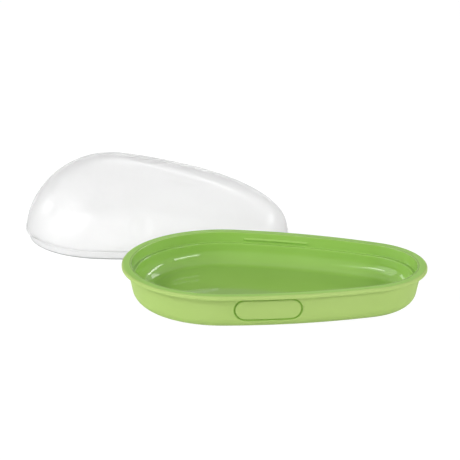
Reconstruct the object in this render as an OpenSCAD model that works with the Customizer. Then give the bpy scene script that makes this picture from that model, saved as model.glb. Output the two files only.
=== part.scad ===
// Avocado keeper. A shallow teardrop tray holds half an avocado, cut face down,
// and a thin clear lid, shaped like half of the fruit, snaps into the tray's rim.
// The lid is off and stands behind the tray. Millimetres, +Z up, wide end at -X.

/* [Outline] */
// Length of the tray over its rim
base_l = 140; // [128:1:160]
// Radius of the rim at the wide end
wide_r = 46.2; // [42:0.1:50]
// Radius of the rim at the narrow end
narrow_r = 33; // [28:0.5:38]
// Radius of the rim along each flank
flank_r = 236; // [180:2:400]

/* [Tray] */
// Height of the tray
base_h = 17.4; // [16.5:0.1:24]
// Width of the rim's top, from the nose to the mouth
rim_w = 4.5; // [4.3:0.1:6]
// Height of the rim's nose
nose_h = 1.9; // [1.8:0.1:3.2]
// Rounding of the nose's upper edge
nose_r = 1; // [0.6:0.1:1.2]
// Rounding of the small edges
edge_r = 0.4; // [0.2:0.05:0.5]
// How far the nose stands out over the outer wall
overhang = 2.7; // [1.5:0.1:2.9]
// Slope of the outer wall away from upright, in degrees
wall_draft = 11.8; // [4:0.1:13]
// Rounding between the outer wall and the underside
foot_r = 6.5; // [3:0.1:7]
// Thickness of the floor
floor_t = 3; // [1.6:0.1:3.4]
// Largest rounding between the inner wall and the floor
floor_r = 7; // [2:0.1:8]
// Width of the ledge that the lid sits on
seat_w = 1.8; // [1.4:0.1:2.2]
// Depth of the ledge below the rim's top
seat_drop = 5; // [4.8:0.1:6]

/* [Snap ribs] */
// Length of each snap rib
rib_l = 30; // [15:1:50]
// How far a snap rib stands out from the inner wall
rib_out = 0.6; // [0.4:0.05:0.6]
// Height of a snap rib
rib_h = 1.2; // [1.2:0.1:1.6]
// Place of the ribs' middle along the tray
rib_x = -1; // [-15:1:15]

/* [Name plate] */
// Length of the bare plate's groove, over its outside
plate_l = 31; // [20:1:44]
// Height of the bare plate's groove, over its outside
plate_h = 11.4; // [6:0.1:11.6]
// Width of the groove
groove_w = 1; // [0.6:0.1:1.4]
// Depth of the groove
groove_d = 0.5; // [0.3:0.05:0.6]
// Place of the plate's middle along the tray
plate_x = -1; // [-10:1:10]
// Gap between the groove and the rim's nose
plate_gap = 0.4; // [0.3:0.1:2]

/* [Lid] */
// Height of the crown above the lid's edge bead
crown_h = 35.2; // [28:0.2:44]
// Place of the crown along the lid
crown_x = -20; // [-28:1:-5]
// Fall of the crown line towards the narrow end, per millimetre
crown_fall = 0.062; // [0:0.002:0.1]
// Shoulder exponent at the wide end, where a smaller one is boxier
wide_shoulder = 0.59; // [0.4:0.01:0.7]
// Shoulder exponent at the narrow end
narrow_shoulder = 0.44; // [0.38:0.01:0.7]
// Wall of the lid
lid_t = 1.5; // [1.2:0.1:2]
// Height of the skirt that drops inside the ledge
skirt_h = 3.6; // [2.6:0.1:6]
// Height of the bead round the lid's edge
bead_h = 0.9; // [0.8:0.1:1.6]
// How far the bead stands out from the dome
bead_out = 0.45; // [0.3:0.05:0.6]
// Gap between the shut lid and the tray, all round
fit_gap = 0.25; // [0.15:0.05:0.4]
// Gap between the shut lid's bead and the ribs above it
snap_gap = 0.15; // [0.1:0.05:0.3]

/* [Thumb dimples] */
// Width of the dimple in each flank of the dome
dimple_w = 13; // [8:0.5:18]
// Height of a dimple
dimple_h = 15; // [9:0.5:17]
// Depth of a dimple
dimple_d = 1.6; // [0.5:0.1:1.8]
// Height of a dimple's middle above the bead
dimple_z = 11; // [8:0.2:13]
// Place of the dimples along the lid
dimple_x = -1; // [-12:1:12]

/* [Lid taken off] */
// Place of the lid's middle along the tray
lid_x = -61.5; // [-80:0.5:-50]
// How much further back the lid stands than side by side
lid_back = -2; // [-2:1:40]
// Turn of the lid against the tray, in degrees
lid_turn = -5.6; // [-10:0.2:10]

/* [Hidden] */

// The outline is four arcs that meet without a corner: one round each end and
// one along each flank. The flank arcs' centres lie across the axis.
wide_c = [wide_r - base_l / 2, 0];
narrow_c = [base_l / 2 - narrow_r, 0];
span = narrow_c.x - wide_c.x;
flank_dx = (pow(flank_r - wide_r, 2) - pow(flank_r - narrow_r, 2) + span * span) / (2 * span);
flank_c = [wide_c.x + flank_dx, -sqrt(pow(flank_r - wide_r, 2) - flank_dx * flank_dx)];
// Directions, from a flank arc's centre, at which it meets the two end arcs
wide_a = atan2(-flank_c.y, wide_c.x - flank_c.x);
narrow_a = atan2(-flank_c.y, narrow_c.x - flank_c.x);

// Steps of each rounding, and of each arc of the outline
edge_steps = 2;
nose_steps = 4;
round_steps = 6;
narrow_steps = 16;
flank_steps = 20;
wide_steps = 28;

// Both pieces are lofts round the same columns. A column is an arc's centre, its
// radius on the rim's outline and a direction, and they run counterclockwise.
function columns(c, r, a, b, n) = [for (i = [0:n - 1]) [c, r, a + (b - a) * i / n]];
loft = [
    each columns(narrow_c, narrow_r, -narrow_a, narrow_a, narrow_steps),
    each columns(flank_c, flank_r, narrow_a, wide_a, flank_steps),
    each columns(wide_c, wide_r, wide_a, 360 - wide_a, wide_steps),
    each columns([flank_c.x, -flank_c.y], flank_r, -wide_a, -narrow_a, flank_steps)
];
loft_n = len(loft);

// The point of a column at an inset from the rim's outline
function outline_point(col, inset) = col[0] + (col[1] - inset) * [cos(col[2]), sin(col[2])];

// A level ring at an inset from the rim's outline and a height
function level_ring(inset, z) = [for (col = loft) [each outline_point(col, inset), z]];

// Triangles between ring a and ring b of a loft whose first point is number first
function band(a, b, first = 0) = [
    for (j = [0:loft_n - 1])
        let (
            k = (j + 1) % loft_n,
            low = first + a * loft_n,
            high = first + b * loft_n
        )
        each [[low + j, high + j, high + k], [low + j, high + k, low + k]]
];

// Points of an arc round c, from direction a to direction b
function arc(c, r, a, b, n) = [for (i = [0:n]) c + r * [cos(a + (b - a) * i / n), sin(a + (b - a) * i / n)]];

// Tray levels, and insets from the rim's outline
nose_z = base_h - nose_h;
seat_z = base_h - seat_drop;
skirt_wall = rim_w + seat_w;
// The rounding inside stops where the lid's skirt would touch it
skirt_dip = sqrt(1.2 * floor_r * fit_gap);
inner_r = min(floor_r, seat_z - skirt_h - floor_t + skirt_dip);
// Height at which the foot's rounding meets the drafted wall, and the inset of its centre
foot_z = foot_r * (1 - sin(wall_draft));
foot_in = draft_in(foot_z) + foot_r * cos(wall_draft);

// Inset of the drafted outer wall at height z
function draft_in(z) = overhang + (nose_z - z) * tan(wall_draft);

// Inset of the outer wall at height z, with the foot's rounding
function wall_in(z) = z > foot_z
    ? draft_in(z)
    : foot_in - sqrt(pow(foot_r, 2) - pow(foot_r - max(z, 0), 2));

// The tray's section, as insets and heights. It runs from the underside up the
// wall, over the rim and the lid's ledge, and down to the floor.
tray_section = [
    for (p = [
        each arc([-foot_in, foot_r], foot_r, -90, -wall_draft, round_steps),
        [-overhang, nose_z],
        each arc([-edge_r, nose_z + edge_r], edge_r, -90, 0, edge_steps),
        each arc([-nose_r, base_h - nose_r], nose_r, 0, 90, nose_steps),
        each arc([edge_r - rim_w, base_h - edge_r], edge_r, 90, 180, edge_steps),
        [-rim_w, seat_z],
        each arc([edge_r - skirt_wall, seat_z - edge_r], edge_r, 90, 180, edge_steps),
        each arc([-skirt_wall - inner_r, floor_t + inner_r], inner_r, 0, -90, round_steps)
    ])
    [-p.x, p.y]
];

module tray_shell() {
    last = len(tray_section) - 1;
    points = [for (p = tray_section) each level_ring(p.x, p.y)];
    foot = [for (j = [0:loft_n - 1]) j];
    floor_top = [for (j = [loft_n - 1:-1:0]) last * loft_n + j];
    polyhedron(points, [foot, floor_top, for (i = [0:last - 1]) each band(i, i + 1)], convexity = 6);
}

// Sweeps a section, drawn at the flank arc's radius, along the rear flank
module along_flank(from, to)
    translate(flank_c)
        rotate_extrude(start = from, angle = to - from, $fn = 720)
            children();

// A long rib with a rounded face on each flank's inner wall, over the lid's bead
module snap_ribs() {
    wall = flank_r - rim_w;
    root = 0.5;
    half_h = rib_h / 2;
    face_r = (rib_out * rib_out + half_h * half_h) / (2 * rib_out);
    lean = asin(half_h / face_r);
    mid_z = seat_z + bead_h + snap_gap + half_h;
    mid_a = acos((rib_x - flank_c.x) / wall);
    half_a = rib_l / wall * 90 / PI;
    for (m = [0, 1])
        mirror([0, m, 0])
            along_flank(mid_a - half_a, mid_a + half_a)
                polygon([
                    [wall + root, mid_z + half_h],
                    each arc([wall - rib_out + face_r, mid_z], face_r, 180 - lean, 180 + lean, round_steps),
                    [wall + root, mid_z - half_h]
                ]);
}

// Outline with straight sides and round ends, of length l and height h
module stadium(l, h) {
    square([l - h, h], center = true);
    for (s = [-1, 1])
        translate([s * (l - h) / 2, 0])
            circle(d = h, $fn = 64);
}

// Shallow groove round the bare plate. It keeps its depth along the curved wall and
// down into the foot's rounding.
module plate_groove() {
    mid_z = nose_z - plate_gap - plate_h / 2;
    low = mid_z - plate_h / 2 - groove_w;
    high = mid_z + plate_h / 2 + plate_gap / 2;
    reach = 3;
    intersection() {
        translate([plate_x, 0, mid_z])
            rotate([90, 0, 0])
                linear_extrude(wide_r)
                    difference() {
                        stadium(plate_l, plate_h);
                        stadium(plate_l - 2 * groove_w, plate_h - 2 * groove_w);
                    }
        mirror([0, 1, 0])
            along_flank(narrow_a, wide_a)
                polygon([
                    [flank_r - wall_in(low) + reach, low],
                    [flank_r - wall_in(high) + reach, high],
                    for (i = [round_steps:-1:0])
                        let (z = low + (high - low) * i / round_steps)
                        [flank_r - wall_in(z) - groove_d, z]
                ]);
    }
}

module base() {
    color([0.55, 0.7, 0.2])
        difference() {
            union() {
                tray_shell();
                snap_ribs();
            }
            plate_groove();
        }
}

// Lid insets from the tray's rim outline, and levels above the lid's foot
bead_in = rim_w + fit_gap;
skirt_in = bead_in + seat_w;
dome_in = bead_in + bead_out;
dome_z = skirt_h + bead_h;
bevel = 0.3;
outer_steps = 17;
inner_steps = 13;

// Shoulder exponent in a column's direction, from the wide end to the narrow end
function shoulder(col) = wide_shoulder
    + (narrow_shoulder - wide_shoulder) * pow((1 + cos(col[2])) / 2, 2);

// A point pushed in by the thumb dimples, which fade out to nothing at their edge
function dimpled(p) =
    let (
        along = (p.x - dimple_x) * 2 / dimple_w,
        up = (p.z - dome_z - dimple_z) * 2 / dimple_h,
        depth = max(0, 1 - along * along - up * up)
    )
    [p.x, p.y - sign(p.y) * dimple_d * depth * depth, p.z];

// A ring of the dome at turn t, from 0 at the bead to 90 at the crown. The
// outline shrinks towards the crown by cos(t) and climbs by a power of sin(t).
function dome_ring(t, inset, drop) = [
    for (col = loft)
        let (
            crown = [crown_x, 0],
            p = crown + cos(t) * (outline_point(col, inset) - crown),
            top = crown_h - drop - crown_fall * (p.x - crown_x)
        )
        dimpled([p.x, p.y, dome_z + top * pow(sin(t), 2 * shoulder(col))])
];

lid_outside = [
    level_ring(skirt_in + bevel, 0),
    level_ring(skirt_in, bevel),
    level_ring(skirt_in, skirt_h),
    level_ring(bead_in + bevel, skirt_h),
    level_ring(bead_in, skirt_h + bevel),
    level_ring(bead_in, dome_z - bevel),
    for (i = [0:outer_steps - 1]) dome_ring(90 * i / outer_steps, dome_in, 0)
];
lid_inside = [
    for (i = [inner_steps - 1:-1:0]) dome_ring(90 * i / inner_steps, dome_in + lid_t, lid_t),
    level_ring(skirt_in + lid_t, skirt_h - bevel),
    level_ring(skirt_in + lid_t, 0)
];

module lid() {
    lid_y = 2 * wide_r - bead_in + lid_back;
    outer = len(lid_outside);
    inner = len(lid_inside);
    crown = outer * loft_n;
    hollow = crown + 1;
    hollow_crown = hollow + inner * loft_n;
    points = [
        for (ring = lid_outside) each ring,
        [crown_x, 0, dome_z + crown_h],
        for (ring = lid_inside) each ring,
        [crown_x, 0, dome_z + crown_h - lid_t]
    ];
    faces = [
        for (i = [0:outer - 2]) each band(i, i + 1),
        for (j = [0:loft_n - 1]) [crown - loft_n + j, crown, crown - loft_n + (j + 1) % loft_n],
        for (j = [0:loft_n - 1]) [hollow + j, hollow + (j + 1) % loft_n, hollow_crown],
        for (i = [0:inner - 2]) each band(i, i + 1, hollow),
        for (j = [0:loft_n - 1])
            let (k = (j + 1) % loft_n, foot = hollow_crown - loft_n)
            each [[foot + j, j, k], [foot + j, k, foot + k]]
    ];
    color([0.92, 0.93, 0.94, 0.6])
        translate([lid_x, lid_y, 0])
            rotate(lid_turn)
                polyhedron(points, faces, convexity = 4);
}

base();
lid();
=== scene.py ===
"""Avocado keeper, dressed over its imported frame.

A green tray, matt outside and polished inside, and a milky lid shaped like half of the
fruit, which is off and stands behind the tray. Shapes are worked out in millimetres,
+Z up and the wide end at -X, and become metres in the meshes.
"""
import math

import bpy
import numpy as np
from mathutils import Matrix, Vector


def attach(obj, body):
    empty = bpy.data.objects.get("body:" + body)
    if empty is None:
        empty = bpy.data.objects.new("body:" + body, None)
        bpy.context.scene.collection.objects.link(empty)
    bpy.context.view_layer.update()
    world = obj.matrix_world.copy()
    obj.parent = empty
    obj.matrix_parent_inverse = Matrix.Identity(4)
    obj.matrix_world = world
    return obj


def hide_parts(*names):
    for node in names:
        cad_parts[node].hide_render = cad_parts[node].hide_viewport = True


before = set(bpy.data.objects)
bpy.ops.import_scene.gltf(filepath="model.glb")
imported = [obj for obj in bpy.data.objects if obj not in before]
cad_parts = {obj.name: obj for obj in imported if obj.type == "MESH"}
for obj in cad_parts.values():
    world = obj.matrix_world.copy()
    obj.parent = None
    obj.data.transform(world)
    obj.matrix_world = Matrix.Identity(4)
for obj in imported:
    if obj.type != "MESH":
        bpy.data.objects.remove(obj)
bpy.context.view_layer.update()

MM = 0.001

# Sizes, in millimetres
LENGTH, WIDE_R, NARROW_R, FLANK_R = 140.0, 46.2, 33.0, 236.0
BASE_H, RIM_W, NOSE_H, NOSE_R, EDGE_R = 17.4, 4.5, 1.9, 1.0, 0.4
OVERHANG, DRAFT, FOOT_R, HEAD_R = 2.7, math.radians(11.8), 6.5, 0.25
FLOOR_T, FLOOR_R, SEAT_W, SEAT_DROP, SEAT_R = 3.0, 7.0, 1.8, 5.0, 0.2
RIB_L, RIB_OUT, RIB_H, RIB_X, RIB_FADE = 30.0, 0.6, 1.2, -1.0, 0.4
PLATE_L, PLATE_H, PLATE_X, PLATE_GAP, GROOVE_W, GROOVE_D = 31.0, 11.4, -1.0, 0.4, 1.1, 0.8
CROWN_H, CROWN_X, CROWN_FALL, WIDE_SHOULDER, NARROW_SHOULDER = 35.2, -20.0, 0.062, 0.59, 0.44
LID_T, SKIRT_H, BEAD_H, BEAD_OUT, FIT_GAP, SNAP_GAP = 1.5, 3.6, 0.9, 0.45, 0.25, 0.15
LID_EDGE_R, BEAD_ROOT_R, SKIRT_ROOT_R, SKIRT_ROOT_DROP = 0.3, 0.15, 0.5, 0.3
DIMPLE_W, DIMPLE_H, DIMPLE_D, DIMPLE_Z, DIMPLE_X = 13.0, 15.0, 1.6, 11.0, -1.0
LID_X, LID_BACK, LID_TURN = -61.5, -2.0, math.radians(-5.6)

SEAT_Z = BASE_H - SEAT_DROP
NOSE_Z = BASE_H - NOSE_H
PLATE_Z = NOSE_Z - PLATE_GAP - PLATE_H / 2
RIB_Z = SEAT_Z + BEAD_H + SNAP_GAP + RIB_H / 2
BEAD_IN = RIM_W + FIT_GAP
SKIRT_IN = BEAD_IN + SEAT_W
DOME_IN = BEAD_IN + BEAD_OUT
DOME_Z = SKIRT_H + BEAD_H
LID_Y = 2 * WIDE_R - BEAD_IN + LID_BACK

# The outline is four arcs that meet without a corner: one round each end, one along each flank
WIDE_C = np.array([WIDE_R - LENGTH / 2, 0.0])
NARROW_C = np.array([LENGTH / 2 - NARROW_R, 0.0])
SPAN = NARROW_C[0] - WIDE_C[0]
FLANK_DX = ((FLANK_R - WIDE_R) ** 2 - (FLANK_R - NARROW_R) ** 2 + SPAN**2) / (2 * SPAN)
FLANK_C = np.array([WIDE_C[0] + FLANK_DX, -math.sqrt((FLANK_R - WIDE_R) ** 2 - FLANK_DX**2)])
WIDE_A = math.atan2(-FLANK_C[1], WIDE_C[0] - FLANK_C[0])
NARROW_A = math.atan2(-FLANK_C[1], NARROW_C[0] - FLANK_C[0])

# Steps between the points of a mesh, in millimetres. WHOLE is longer than any stretch.
ARC_STEP, FINE_STEP, WHOLE = 0.22, 0.22, 9.0
ARC_LEAST, DOME_RINGS = 5, 75

# The tray's finishes, in the order of its materials
MATT, SATIN, POLISHED = 0, 1, 2


class Outline:
    """Columns round the tray's outline, counterclockwise from the narrow end: each has its
    arc's centre and radius and a direction. The point of a column at an inset from the
    outline is centre + (radius - inset) * (cos direction, sin direction). The columns of a
    flank lie at the x given, and those of an end one step apart."""

    def __init__(self, flank_x, step):
        flank = np.arccos((np.asarray(flank_x) - FLANK_C[0]) / FLANK_R)
        flank = np.concatenate([[NARROW_A], flank, [WIDE_A]])
        narrow = np.linspace(-NARROW_A, NARROW_A, round(2 * NARROW_A * NARROW_R / step), False)
        round_wide = 2 * (math.pi - WIDE_A)
        wide = np.linspace(WIDE_A, WIDE_A + round_wide, round(round_wide * WIDE_R / step), False)
        arcs = [
            (NARROW_C, NARROW_R, narrow),
            (FLANK_C, FLANK_R, flank[:-1]),
            (WIDE_C, WIDE_R, wide),
            (FLANK_C * [1, -1], FLANK_R, -flank[:0:-1]),
        ]
        self.centre = np.concatenate([np.tile(c, (len(d), 1)) for c, _, d in arcs])
        self.radius = np.concatenate([np.full(len(d), r) for _, r, d in arcs])
        self.turn = np.concatenate([d for _, _, d in arcs])

    def at(self, inset):
        """x and y of the columns at an inset, which may be a number or rows by columns."""
        reach = self.radius - inset
        return (
            self.centre[:, 0] + reach * np.cos(self.turn),
            self.centre[:, 1] + reach * np.sin(self.turn),
        )


def smooth(u):
    """0 below u = 0 and 1 above u = 1, with a level start and end between them."""
    u = np.clip(u, 0, 1)
    return u * u * (3 - 2 * u)


def section(corners):
    """A section through the corners, each (inset, height, radius, step). A corner becomes
    an arc of its radius, tangent to both of its sides, and the straight stretch after it
    is divided at its step. Returns the insets, the heights and the number of the corner
    that each point belongs to or follows."""
    pts = np.array([c[:2] for c in corners], float)
    out, owner = [], []
    for i, (_, _, radius, _) in enumerate(corners):
        if radius and 0 < i < len(corners) - 1:
            back, ahead = pts[i - 1] - pts[i], pts[i + 1] - pts[i]
            back, ahead = back / np.linalg.norm(back), ahead / np.linalg.norm(ahead)
            half = math.acos(np.clip(back @ ahead, -1, 1)) / 2
            middle = (back + ahead) / np.linalg.norm(back + ahead)
            hub = pts[i] + middle * radius / math.sin(half)
            bend = math.pi / 2 - half
            steps = max(ARC_LEAST, round(2 * bend * radius / ARC_STEP))
            sweep = np.linspace(-bend, bend, steps + 1)
            side = ahead - middle * (ahead @ middle)
            side /= np.linalg.norm(side)
            arc = hub + radius * (np.outer(np.sin(sweep), side) - np.outer(np.cos(sweep), middle))
        else:
            arc = pts[i : i + 1]
        if out:
            last = out[-1]
            n = max(1, math.ceil(np.linalg.norm(arc[0] - last) / corners[i - 1][3]))
            for k in range(1, n):
                out.append(last + (arc[0] - last) * k / n)
                owner.append(i - 1)
        out.extend(arc)
        owner.extend([i] * len(arc))
    out = np.array(out)
    return out[:, 0], out[:, 1], np.array(owner)


def added(name, data):
    """A new object in the scene, at the origin."""
    obj = bpy.data.objects.new(name, data)
    bpy.context.scene.collection.objects.link(obj)
    return obj


def skin(name, x, y, z, poles=None, finish=None):
    """A closed skin over grids x, y and z, rows by columns. The columns close on
    themselves. The first and the last row close with a flat face each, or with a fan to
    each of the two poles. A finish is the material's number for each band between rows."""
    rows, cols = x.shape
    points = np.stack([x, y, z], -1).reshape(-1, 3)
    number = np.arange(rows * cols).reshape(rows, cols)
    beside = np.roll(number, -1, axis=1)
    quads = np.stack([number[:-1], beside[:-1], beside[1:], number[1:]], -1)
    faces = quads.reshape(-1, 4).tolist()
    if poles is None:
        faces += [number[0, ::-1].tolist(), number[-1].tolist()]
    else:
        points = np.concatenate([points, poles])
        first, last = np.full(cols, rows * cols), np.full(cols, rows * cols + 1)
        faces += np.stack([first, beside[0], number[0]], -1).tolist()
        faces += np.stack([number[-1], beside[-1], last], -1).tolist()
    mesh = bpy.data.meshes.new(name)
    mesh.from_pydata((points * MM).tolist(), [], faces)
    mesh.polygons.foreach_set("use_smooth", np.ones(len(faces), bool))
    if finish is not None:
        kinds = np.concatenate([np.repeat(finish, cols), [finish[0], finish[-1]]])
        mesh.polygons.foreach_set("material_index", kinds.astype(np.int32))
    mesh.update()
    return added(name, mesh)


def plate_groove(x, z):
    """Depth of the groove round the bare plate. It runs inside a stadium's edge, falls to
    its depth over half its width, and ends at the plate in a side a quarter as wide."""
    along = np.maximum(np.abs(x - PLATE_X) - (PLATE_L - PLATE_H) / 2, 0)
    edge = np.hypot(along, z - PLATE_Z) - PLATE_H / 2
    across = -edge / GROOVE_W
    return GROOVE_D * smooth(across * 2) * smooth((1 - across) * 4)


def snap_rib(x, z):
    """How far a snap rib stands in from the wall: an arc over its height, and a short
    rounded fall at each end."""
    half = RIB_H / 2
    face = (RIB_OUT**2 + half**2) / (2 * RIB_OUT)
    rise = np.sqrt(np.maximum(face**2 - (z - RIB_Z) ** 2, 0)) - (face - RIB_OUT)
    end = smooth((RIB_L / 2 + RIB_FADE / 2 - np.abs(x - RIB_X)) / RIB_FADE)
    return np.maximum(rise, 0) * end


def tray():
    """The tray's section carried round the outline. The outer wall is pushed in by the
    plate's groove, and the inner wall stands in at the ribs. Along the flanks the columns
    are fine where the groove turns and the ribs end."""
    fine = np.arange(0, 5.9, FINE_STEP)
    outline = Outline(
        np.concatenate([
            np.arange(47.8, 15.6, -1.3),
            15.2 - fine,
            np.arange(8.6, -10.9, -1.2),
            -11.4 - fine,
            [-18.2, -19.6],
        ]),
        1.25,
    )
    wall_foot = OVERHANG + NOSE_Z * math.tan(DRAFT)
    wall = RIM_W + SEAT_W
    foot, head, nose, mouth = 1, 2, 4, 5
    inset, height, owner = section([
        (wall_foot + FOOT_R + 1, 0, 0, WHOLE),
        (wall_foot, 0, FOOT_R, 0.18),  # foot, then the outer wall
        (OVERHANG, NOSE_Z, HEAD_R, 0.5),  # head of the wall, under the rim
        (0, NOSE_Z, EDGE_R, 0.5),
        (0, BASE_H, NOSE_R, 0.6),  # nose, then the rim's top
        (RIM_W, BASE_H, EDGE_R, 0.16),  # mouth, then the inner wall
        (RIM_W, SEAT_Z, SEAT_R, 0.4),
        (wall, SEAT_Z, EDGE_R, 1.0),
        (wall, FLOOR_T, FLOOR_R, WHOLE),
        (wall + FLOOR_R + 1, FLOOR_T, 0, WHOLE),
    ])
    flat_x, flat_y = outline.at(inset[:, None])
    z = np.repeat(height[:, None], flat_x.shape[1], axis=1)
    outer_wall = ((owner == foot) | (owner == head)) & (height < NOSE_Z)
    inner_wall = (owner == mouth) & (height < BASE_H - EDGE_R)
    push = np.where(outer_wall[:, None] & (flat_y < 0), plate_groove(flat_x, z), 0)
    push = np.where(inner_wall[:, None], snap_rib(flat_x, z), push)
    x, y = outline.at(inset[:, None] + push)
    level = 0.02
    top = (owner == nose) & (height > BASE_H - level)
    finish = np.where(owner >= mouth, POLISHED, np.where(top, SATIN, MATT))
    return skin("tray", x, y, z, finish=finish[1:])


def lid():
    """The lid's outside and inside as one closed skin. A ring of the dome at turn t is the
    outline drawn towards the crown by cos t, and climbs by the 2 * shoulder power of
    sin t. The shoulder goes from the wide end's to the narrow end's with the direction.
    A dimple's depth is a squared bowl, level at its edge."""
    outline = Outline(np.arange(47.6, -20.6, -0.95), 1.2)
    narrow_share = ((1 + np.cos(outline.turn)) / 2) ** 2
    shoulder = WIDE_SHOULDER + (NARROW_SHOULDER - WIDE_SHOULDER) * narrow_share

    def level(inset, height):
        x, y = outline.at(inset[:, None])
        return x, y, np.repeat(height[:, None], x.shape[1], axis=1)

    def dome(turn, inset, drop):
        x, y = outline.at(inset)
        x = CROWN_X + np.cos(turn)[:, None] * (x - CROWN_X)
        y = np.cos(turn)[:, None] * y
        top = CROWN_H - drop - CROWN_FALL * (x - CROWN_X)
        z = DOME_Z + top * np.sin(turn)[:, None] ** (2 * shoulder)
        along = (x - DIMPLE_X) * 2 / DIMPLE_W
        rise = (z - DOME_Z - DIMPLE_Z) * 2 / DIMPLE_H
        bowl = np.maximum(1 - along**2 - rise**2, 0) ** 2
        return x, y - np.sign(y) * DIMPLE_D * bowl, z

    turn = math.pi / 2 * np.linspace(0, 1, DOME_RINGS, endpoint=False)
    skirt_out, skirt_up, _ = section([
        (SKIRT_IN + LID_T / 2, 0, 0, WHOLE),
        (SKIRT_IN, 0, LID_EDGE_R, 1.2),
        (SKIRT_IN, SKIRT_H, BEAD_ROOT_R, 0.5),
        (BEAD_IN, SKIRT_H, LID_EDGE_R, 0.5),
        (BEAD_IN, DOME_Z, LID_EDGE_R, 0.5),
        (DOME_IN, DOME_Z, 0, WHOLE),
    ])
    skirt_in, skirt_down, _ = section([
        (DOME_IN + LID_T, DOME_Z, 0, 0.5),
        (SKIRT_IN + LID_T, SKIRT_H - SKIRT_ROOT_DROP, SKIRT_ROOT_R, 1.2),
        (SKIRT_IN + LID_T, 0, LID_EDGE_R, WHOLE),
        (SKIRT_IN + LID_T / 2, 0, 0, WHOLE),
    ])
    parts = [
        dome(turn[:0:-1], DOME_IN + LID_T, LID_T),
        level(skirt_in[:-1], skirt_down[:-1]),
        level(skirt_out[:-1], skirt_up[:-1]),
        dome(turn, DOME_IN, 0),
    ]
    x, y, z = (np.concatenate([p[k] for p in parts]) for k in range(3))
    cos, sin = math.cos(LID_TURN), math.sin(LID_TURN)

    def taken_off(x, y):
        return LID_X + cos * x - sin * y, LID_Y + sin * x + cos * y

    crown = taken_off(CROWN_X, 0)
    poles = [(*crown, DOME_Z + CROWN_H - LID_T), (*crown, DOME_Z + CROWN_H)]
    return skin("cover", *taken_off(x, y), z, poles)


class Value:
    """A socket that gives a value. An expression on values adds its Math nodes."""

    def __init__(self, graph, socket):
        self.graph, self.socket = graph, socket

    def _math(self, operation, *operands):
        settings = {"operation": operation}
        return self.graph.node("ShaderNodeMath", settings, dict(enumerate(operands)))

    def __add__(self, other):
        return self._math("ADD", self, other)

    def __sub__(self, other):
        return self._math("SUBTRACT", self, other)

    def __rsub__(self, other):
        return self._math("SUBTRACT", other, self)

    def __mul__(self, other):
        return self._math("MULTIPLY", self, other)

    def __truediv__(self, other):
        return self._math("DIVIDE", self, other)

    def __pow__(self, other):
        return self._math("POWER", self, other)

    __radd__, __rmul__ = __add__, __mul__

    def least(self, other):
        """The lower of two values."""
        return self._math("MINIMUM", self, other)

    def most(self, other):
        """The higher of two values."""
        return self._math("MAXIMUM", self, other)

    def clamp(self):
        """The value, kept from 0 to 1."""
        return self.least(1).most(0)


class Graph:
    """The nodes of one material or of the world."""

    def __init__(self, owner):
        owner.use_nodes = True
        self.tree = owner.node_tree
        self.tree.nodes.clear()

    def node(self, kind, settings=None, inputs=None, output=0):
        """Adds a node, sets its settings, then gives each socket its value or its link.
        Returns the chosen output of a node that has any."""
        made = self.tree.nodes.new(kind)
        for name, value in (settings or {}).items():
            setattr(made, name, value)
        for name, value in (inputs or {}).items():
            if isinstance(value, Value):
                self.tree.links.new(value.socket, made.inputs[name])
            else:
                made.inputs[name].default_value = value
        return Value(self, made.outputs[output]) if len(made.outputs) else None

    def ray(self, kind):
        """What the light path says of the ray that meets the shader."""
        return self.node("ShaderNodeLightPath", output=kind)

    def split(self, vector):
        """The x, y and z of a vector."""
        made = self.node("ShaderNodeSeparateXYZ", None, {"Vector": vector}).socket.node
        return [Value(self, made.outputs[axis]) for axis in "XYZ"]

    def place(self):
        """The place on the piece, in metres."""
        return self.node("ShaderNodeTexCoord", output="Object")

    def noise(self, scale, detail, roughness=0.5):
        """Noise about 0.5, of a scale in features per metre."""
        inputs = {"Scale": scale, "Detail": detail, "Roughness": roughness}
        return self.node("ShaderNodeTexNoise", None, {"Vector": self.place(), **inputs})

    def blend(self, share, a, b):
        """Colour a where share is 0, colour b where it is 1. Of the Mix node's sockets, 6, 7
        and output 2 are those for colours."""
        return self.node("ShaderNodeMix", {"data_type": "RGBA"}, {"Factor": share, 6: a, 7: b}, 2)

    def bump(self, height, depth, strength):
        """A normal from a height, whose whole range stands for a depth in metres."""
        inputs = {"Height": height, "Distance": depth, "Strength": strength}
        return self.node("ShaderNodeBump", None, inputs)

    def surface(self, **inputs):
        """The plastic's own shader, wired to the output."""
        inputs = {name.replace("_", " "): value for name, value in inputs.items()}
        shader = self.node("ShaderNodeBsdfPrincipled", None, inputs)
        self.node("ShaderNodeOutputMaterial", None, {"Surface": shader})


def linear(r, g, b):
    """A colour from 0 to 255, as a screen shows it, as linear light."""
    c = [v / 255 for v in (r, g, b)]
    return (*(v / 12.92 if v <= 0.04045 else ((v + 0.055) / 1.055) ** 2.4 for v in c), 1.0)


def white(light):
    """Colourless linear light."""
    return (light, light, light, 1.0)


def groove_shade_mask(g):
    """Where the groove round the plate gets its painted shade: 1 in the groove, and 0 off it and
    on the back. The same stadium as plate_groove(), with a side a quarter and a side a fifth as
    wide as the groove."""
    x, y, z = (axis / MM for axis in g.split(g.place()))
    along = ((x - PLATE_X).most(PLATE_X - x) - (PLATE_L - PLATE_H) / 2).most(0)
    edge = (along**2 + (z - PLATE_Z) ** 2) ** 0.5 - PLATE_H / 2
    across = edge / -GROOVE_W
    in_front = (0 - y).clamp()
    return (across * 4).clamp() * ((1 - across) * 5).clamp() * in_front


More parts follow.
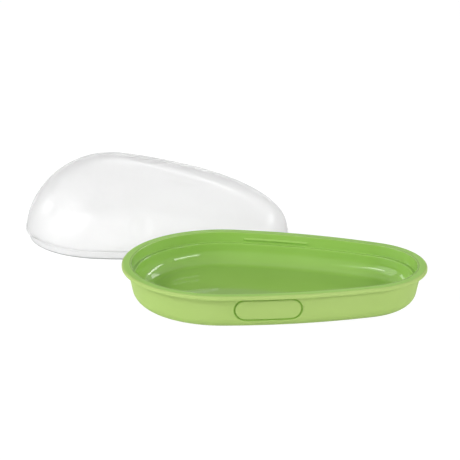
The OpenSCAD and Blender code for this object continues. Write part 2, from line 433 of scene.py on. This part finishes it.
def matt_green():
    """The tray's outside: sparked tool finish, a fine even grain over a faint mottle. The plate's
    groove is painted a deeper green, as painted shade for the shade and the green light bounced
    down in it."""
    material = bpy.data.materials.new("matt_green")
    g = Graph(material)
    groove = groove_shade_mask(g)
    mottle = g.noise(38, 3)
    grain = g.noise(2600, 2, 0.6)
    cloud = g.noise(11, 1)
    share = (mottle * 0.5 + cloud * 0.5 - 0.3) * 2
    colour = g.blend(share.clamp(), linear(167, 194, 111), linear(175, 201, 119))
    # Painted shade: the groove is coloured a deeper green, standing in for the shade down in it.
    colour = g.blend(groove * 0.9, colour, linear(134, 176, 74))
    g.surface(
        Base_Color=colour,
        Roughness=0.5 + grain * 0.12,
        Specular_IOR_Level=0.08,
        Normal=g.bump(grain, 0.00003, 0.5),
    )
    return material


def satin_green():
    """The rim's top: a smoother finish than the outside, with a finer grain."""
    material = bpy.data.materials.new("satin_green")
    g = Graph(material)
    mottle = g.noise(38, 3)
    grain = g.noise(3200, 2, 0.6)
    colour = g.blend((mottle - 0.3) * 2.2, linear(156, 201, 99), linear(163, 207, 106))
    g.surface(
        Base_Color=colour,
        Roughness=0.4 + grain * 0.12,
        Specular_IOR_Level=0.05,
        Normal=g.bump(grain, 0.00002, 0.4),
    )
    return material


def polished_green():
    """The tray's inside: polished tool finish, with slow ripples and hardly any grain."""
    material = bpy.data.materials.new("polished_green")
    g = Graph(material)
    mottle = g.noise(30, 2)
    ripple = g.noise(60, 1)
    dust = g.noise(900, 3, 0.6)
    colour = g.blend((mottle - 0.3) * 2.2, linear(148, 191, 88), linear(154, 196, 95))
    g.surface(
        Base_Color=colour,
        Roughness=0.04 + dust * 0.05,
        Specular_IOR_Level=0.3,
        Normal=g.bump(ripple, 0.00012, 0.25),
    )
    return material


def milky_clear():
    """The lid: plastic with a milky body that lets the light through and blurs what is behind it,
    a faint cloudiness, and a smoother skin over it. The foot's edge is painted darker, as painted
    shade for the contact shadow under the foot and the dark look of the wall's thickness there."""
    material = bpy.data.materials.new("milky_clear")
    g = Graph(material)
    cloud = g.noise(24, 3)
    haze = g.noise(220, 2)
    _, _, z = g.split(g.place())
    shade_h, fade = 0.65, 0.3
    foot = ((shade_h - z / MM) / fade).clamp()
    colour = g.blend((cloud - 0.3) * 2.2, linear(252, 252, 252), linear(255, 255, 255))
    # Painted shade: a grey band at the foot's edge stands in for the contact shadow under the
    # lid.
    colour = g.blend(foot * 0.8, colour, linear(145, 148, 148))
    g.surface(
        Base_Color=colour,
        Roughness=0.30 + haze * 0.05,
        IOR=1.20,
        Transmission_Weight=0.84,
        Alpha=0.90 + cloud * 0.08,
        Coat_Weight=0.35,
        Coat_Roughness=0.12,
        Coat_IOR=1.4,
        Normal=g.bump(haze, 0.00004, 0.2),
    )
    return material


tray_piece = tray()
for green in (matt_green(), satin_green(), polished_green()):
    tray_piece.data.materials.append(green)
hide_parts("base")
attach(tray_piece, "tray")

cover_piece = lid()
cover_piece.data.materials.append(milky_clear())
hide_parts("lid")
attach(cover_piece, "cover")


def seen_by_eye(g):
    """1 on rays from the camera, a reflection or a pane of plastic, and 0 on the rest."""
    return g.ray("Is Camera Ray").most(g.ray("Is Glossy Ray")).most(g.ray("Is Transmission Ray"))


def floor():
    """A wide white floor, a hair under the pieces' feet. What the eye sees of it is mostly
    its plain white, duller through the lid. The rest is lit, so it keeps the object's soft
    shadow."""
    half, z = 6.0, -0.05 * MM
    mesh = bpy.data.meshes.new("floor")
    corners = [(-half, -half, z), (half, -half, z), (half, half, z), (-half, half, z)]
    mesh.from_pydata(corners, [], [(0, 1, 2, 3)])
    material = bpy.data.materials.new("white_floor")
    g = Graph(material)
    lit = g.node("ShaderNodeBsdfDiffuse", None, {"Color": linear(250, 250, 250)})
    glow = g.blend(g.ray("Is Transmission Ray"), white(1.10), white(0.84))
    plain = g.node("ShaderNodeEmission", None, {"Color": glow})
    both = g.node("ShaderNodeMixShader", None, {0: seen_by_eye(g) * 0.86, 1: lit, 2: plain})
    g.node("ShaderNodeOutputMaterial", None, {"Surface": both})
    mesh.materials.append(material)
    added("floor", mesh)


def room():
    """A white room: even dim light on the surfaces, and plain white where the eye sees it.
    Reflections from an outside also show a grey band behind, between two heights above the
    horizon. It begins lower towards the left, and fades out on the right."""
    world = bpy.data.worlds.new("room")
    bpy.context.scene.world = world
    g = Graph(world)
    side, back, up = g.split(g.node("ShaderNodeTexCoord", output="Generated"))
    low = 0.22 + side.least(0).most(-0.55) * 0.22
    high = 0.44
    band = ((up - low) / 0.05).clamp() * ((high - up) / 0.06).clamp()
    behind = ((back - 0.2) / 0.3).clamp() * ((0.16 - side) / 0.08).clamp()
    outside = g.ray("Is Glossy Ray") * (1 - g.ray("Transmission Depth").least(1))
    backdrop = g.blend(band * behind * outside, white(1.0), white(0.4))
    light = g.node("ShaderNodeBackground", None, {"Color": white(0.10)})
    seen = g.node("ShaderNodeBackground", None, {"Color": backdrop})
    both = g.node("ShaderNodeMixShader", None, {0: seen_by_eye(g), 1: light, 2: seen})
    g.node("ShaderNodeOutputWorld", None, {"Surface": both})


def aim(obj, target, round_by, up, away):
    """Puts a lamp or the camera at a distance from the target, at an angle round to the
    right of the tray's front and an angle up, and turns it to the target."""
    turn, rise = math.radians(round_by), math.radians(up)
    across = math.cos(rise)
    out = Vector((math.sin(turn) * across, -math.cos(turn) * across, math.sin(rise)))
    obj.location = Vector(target) + away * out
    obj.rotation_euler = (-out).to_track_quat("-Z", "Y").to_euler()


def softbox(name, round_by, up, away, size, power, mirrored=True, lights=True):
    """A lamp of a width and height in metres, aimed at the middle of the two pieces. One
    that isn't mirrored only fills, and shows in no reflection. One that doesn't light is a
    card that only reflections show."""
    lamp = bpy.data.lights.new(name, "AREA")
    lamp.shape, lamp.size, lamp.size_y, lamp.energy = "RECTANGLE", *size, power
    obj = added(name, lamp)
    middle = (-0.03, 0.04, 0.01)
    aim(obj, middle, round_by, up, away)
    obj.visible_glossy = mirrored
    obj.visible_diffuse = obj.visible_transmission = lights


def camera():
    """The photograph's view: 19 degrees down and 3.4 degrees to the left, through a long
    lens 1.2 m away."""
    data = bpy.data.cameras.new("camera")
    data.sensor_width, data.lens = 36.0, 188.4
    obj = added("camera", data)
    aim(obj, target=(-0.02590, 0.09509, 0.0), round_by=3.362, up=19.0, away=1.19912)
    bpy.context.scene.camera = obj


floor()
room()
# Angle round and angle up in degrees, distance and size in metres, power in watts
softbox("left", -67, 27, 1.15, (1.00, 1.00), 9.2)
softbox("front_left", -52, 34, 1.3, (0.50, 0.12), 3.0)
softbox("front_right", 55, 27, 1.3, (0.80, 0.20), 7.0)
softbox("right", 116, 26, 1.1, (0.70, 0.12), 3.0)
softbox("back_left", -112, 15, 1.3, (0.35, 0.30), 1.6)
softbox("fill", 13, 1, 1.4, (1.60, 0.60), 8.4, mirrored=False)
softbox("behind_high", 164, 38, 1.3, (1.10, 0.18), 2.5, lights=False)
softbox("behind_low", 180, 6, 1.3, (1.60, 0.16), 0.3, lights=False)
camera()

bpy.context.scene.view_settings.view_transform = "Standard"
